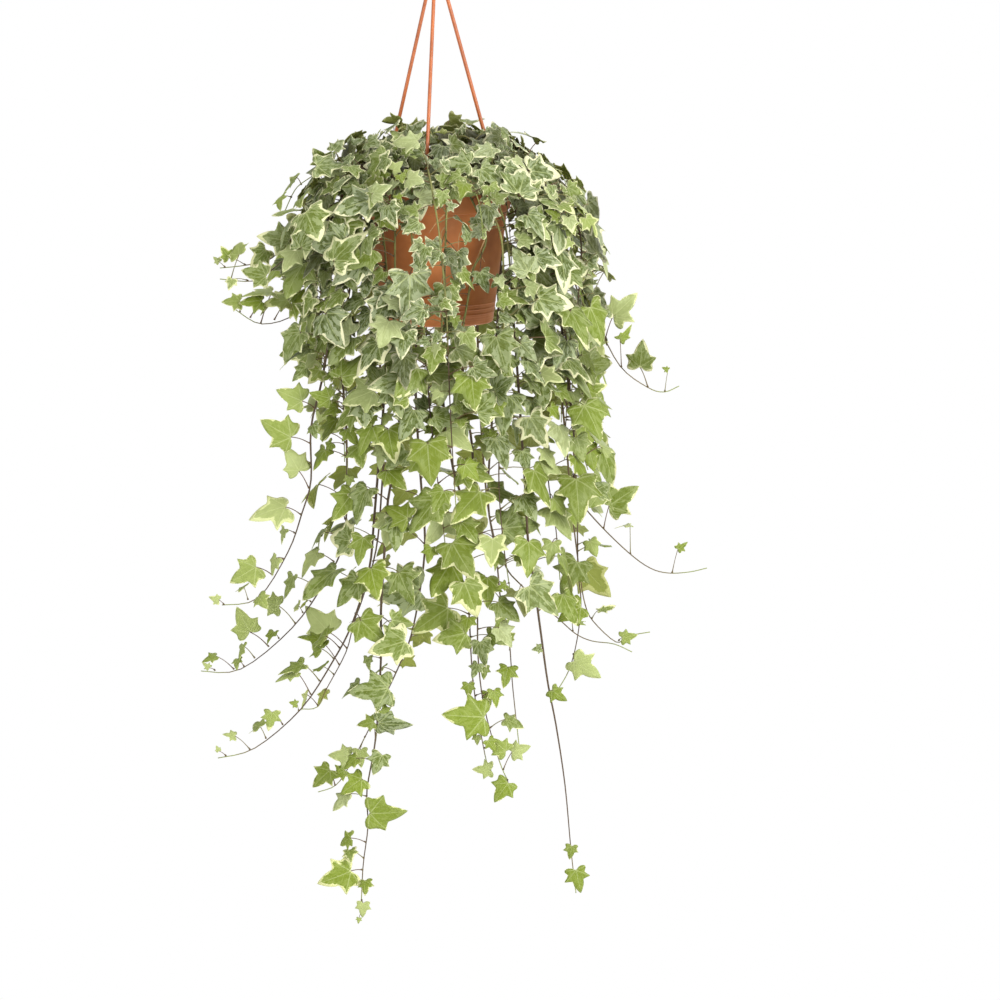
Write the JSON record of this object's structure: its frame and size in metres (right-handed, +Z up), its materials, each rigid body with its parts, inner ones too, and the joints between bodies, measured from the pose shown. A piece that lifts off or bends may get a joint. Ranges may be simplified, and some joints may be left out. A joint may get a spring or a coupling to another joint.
{
  "type": "potted variegated english ivy",
  "caption": "Trailing variegated ivy in a tapered round pot, hung from a hook by a three-legged hanger.",
  "frame": {"origin": "under the top of the hook, where it bears on the rail that holds it, on the pot's axis", "axes": "+Z up, -Y towards the viewer in the picture, +X to the viewer's right"},
  "size_m": [0.5115, 0.3624, 1.0148],
  "materials": {
    "pot": "smooth terracotta-coloured moulded plastic, satin",
    "hanger": "terracotta-coloured moulded plastic, slightly glossy",
    "soil": "moist dark potting compost",
    "ivy": "lobed leaves with grey-green centres and uneven cream margins, on thin green to purple-brown stems"
  },
  "bodies": {
    "root": {"pot": "pot", "hanger": "hanger", "soil": "soil", "trail_left_high": "ivy", "trail_left_shoulder": "ivy", "trail_left_arc": "ivy", "trail_left_outer": "ivy", "trail_left_sweep": "ivy", "trail_left_low": "ivy", "trail_left_inner": "ivy", "trail_longest": "ivy", "trail_back_left": "ivy", "trail_front_middle": "ivy", "trail_front_pale": "ivy", "trail_back_right": "ivy", "trail_front_right": "ivy", "trail_right_hook": "ivy", "trail_right_arc": "ivy", "trail_right_outer": "ivy", "trail_back_sweep": "ivy", "trail_right_curl": "ivy", "trail_right_front": "ivy", "trail_right_short": "ivy", "trail_front_left": "ivy", "trail_front_short": "ivy", "skirt_01": "ivy", "skirt_02": "ivy", "skirt_03": "ivy", "skirt_04": "ivy", "skirt_05": "ivy", "skirt_06": "ivy", "skirt_07": "ivy", "skirt_08": "ivy", "skirt_09": "ivy", "skirt_10": "ivy", "skirt_11": "ivy", "skirt_12": "ivy", "skirt_13": "ivy", "skirt_14": "ivy", "crown_01": "ivy", "crown_02": "ivy", "crown_03": "ivy", "crown_04": "ivy", "crown_05": "ivy", "crown_06": "ivy", "crown_07": "ivy", "crown_08": "ivy", "crown_09": "ivy", "crown_10": "ivy", "crown_11": "ivy", "crown_12": "ivy", "crown_13": "ivy", "crown_14": "ivy"}
  },
  "joints": []
}
